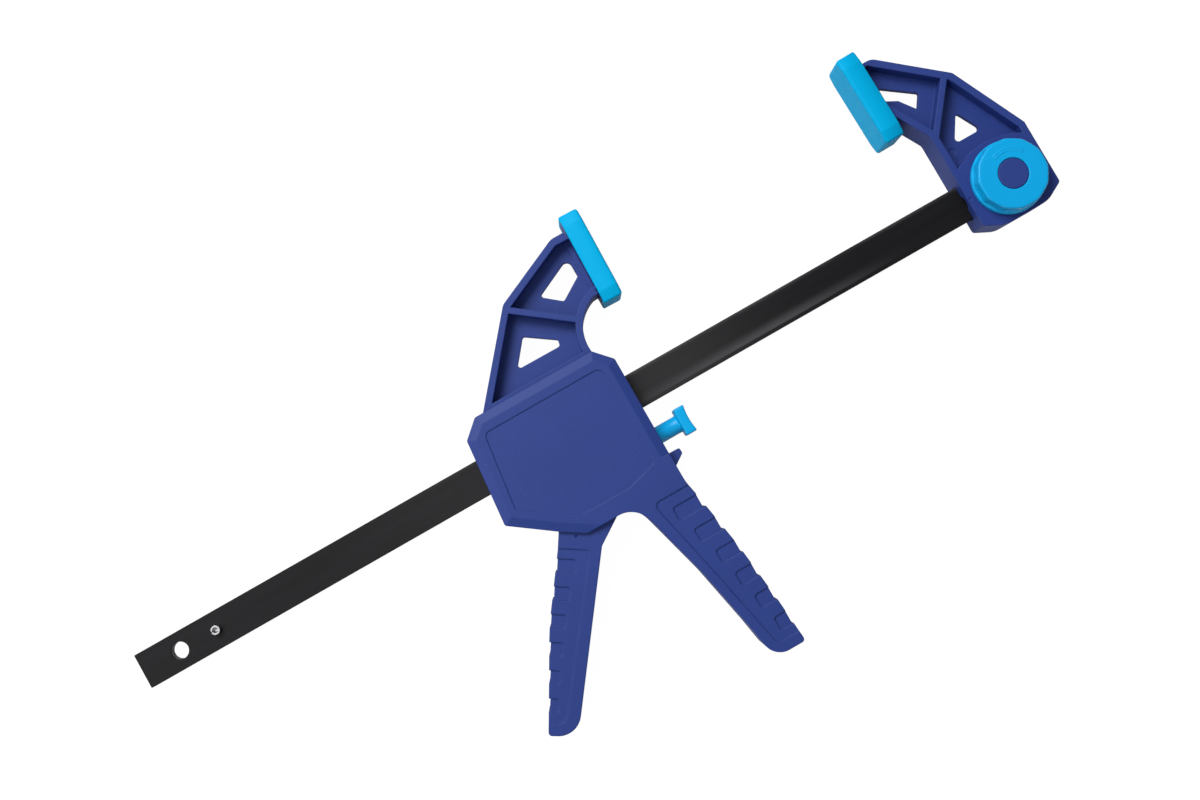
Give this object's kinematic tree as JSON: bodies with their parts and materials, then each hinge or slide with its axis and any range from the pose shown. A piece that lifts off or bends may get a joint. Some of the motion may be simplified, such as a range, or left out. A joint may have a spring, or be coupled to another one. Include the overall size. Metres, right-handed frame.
{
  "type": "quick release bar clamp",
  "caption": "One-handed bar clamp: flat steel bar, fixed jaw with quarter-turn lock knob, sliding carriage with padded jaw, handle, squeeze trigger and release button",
  "frame": {"origin": "centre of the large hole at the bar's free end, on the middle plane of the bar", "axes": "+X along the bar towards the fixed jaw, +Y towards the jaw tips, +Z out of the front face, along the holes' axes"},
  "size_m": [0.5677, 0.2649, 0.04],
  "materials": {
    "deep_blue": "fine satin moulded nylon",
    "light_blue": "satin soft plastic",
    "dark_steel": "blackened, slightly glossy along the edges",
    "bright_steel": "ground",
    "plate_steel": "hardened, stamped",
    "spring_steel": "drawn wire",
    "dark_screw": "blackened"
  },
  "bodies": {
    "frame": {"bar": "dark_steel", "stop_pin": "bright_steel", "fixed_jaw": "deep_blue", "fixed_jaw_pad": "light_blue", "lock_washer": "bright_steel", "lock_spring": "spring_steel"},
    "carriage": {"front_case": "deep_blue", "back_case": "deep_blue", "case_screws": "dark_screw", "sliding_jaw": "deep_blue", "sliding_jaw_pad": "light_blue", "trigger_pivot": "bright_steel", "drive_spring": "spring_steel", "brake_spring": "spring_steel"},
    "trigger": {"trigger": "deep_blue"},
    "drive": {"drive_plates": "plate_steel"},
    "brake": {"brake_plate": "plate_steel"},
    "button": {"release_button": "light_blue"},
    "knob": {"lock_knob": "light_blue", "knob_cap": "deep_blue"},
    "lock": {"lock_pin": "bright_steel", "lock_cross_pin": "bright_steel"}
  },
  "joints": [
    {"name": "carriage_slide", "type": "slide", "parent": "frame", "child": "carriage", "axis": [1, 0, 0], "range_m": [-0.1635, 0.1645]},
    {"name": "trigger_squeeze", "type": "hinge", "parent": "carriage", "child": "trigger", "pos_m": [0.22708, -0.038, 0], "axis": [0, 0, 1], "range_deg": [0, 28], "stiffness_Nm_per_rad": 0.6, "springref_deg": -17.19},
    {"name": "drive_plates_slide", "type": "slide", "parent": "carriage", "child": "drive", "axis": [-1, 0, 0], "range_m": [0, 0.01064], "deforming": ["drive_spring"]},
    {"name": "release_button_slide", "type": "slide", "parent": "carriage", "child": "button", "axis": [-1, 0, 0], "range_m": [0, 0.005], "stiffness_N_per_m": 600, "springref_m": -0.005, "deforming": ["brake_spring"]},
    {"name": "brake_plate_tilt", "type": "hinge", "parent": "carriage", "child": "brake", "pos_m": [0.27, 0.014, 0], "axis": [0, 0, -1], "range_deg": [0, 6.7]},
    {"name": "knob_turn", "type": "hinge", "parent": "frame", "child": "knob", "pos_m": [0.52, 0, 0], "axis": [0, 0, 1], "range_deg": [0, 90]},
    {"name": "lock_pin_slide", "type": "slide", "parent": "frame", "child": "lock", "axis": [0, 0, 1], "range_m": [0, 0.0063], "deforming": ["lock_spring"]}
  ],
  "couplings": [
    {"joint": "drive_plates_slide", "follows": "trigger_squeeze", "m_per_rad": 0.021781},
    {"joint": "brake_plate_tilt", "follows": "release_button_slide", "rad_per_m": 23.39},
    {"joint": "knob_turn", "follows": "lock_pin_slide", "rad_per_m": 249.33}
  ]
}
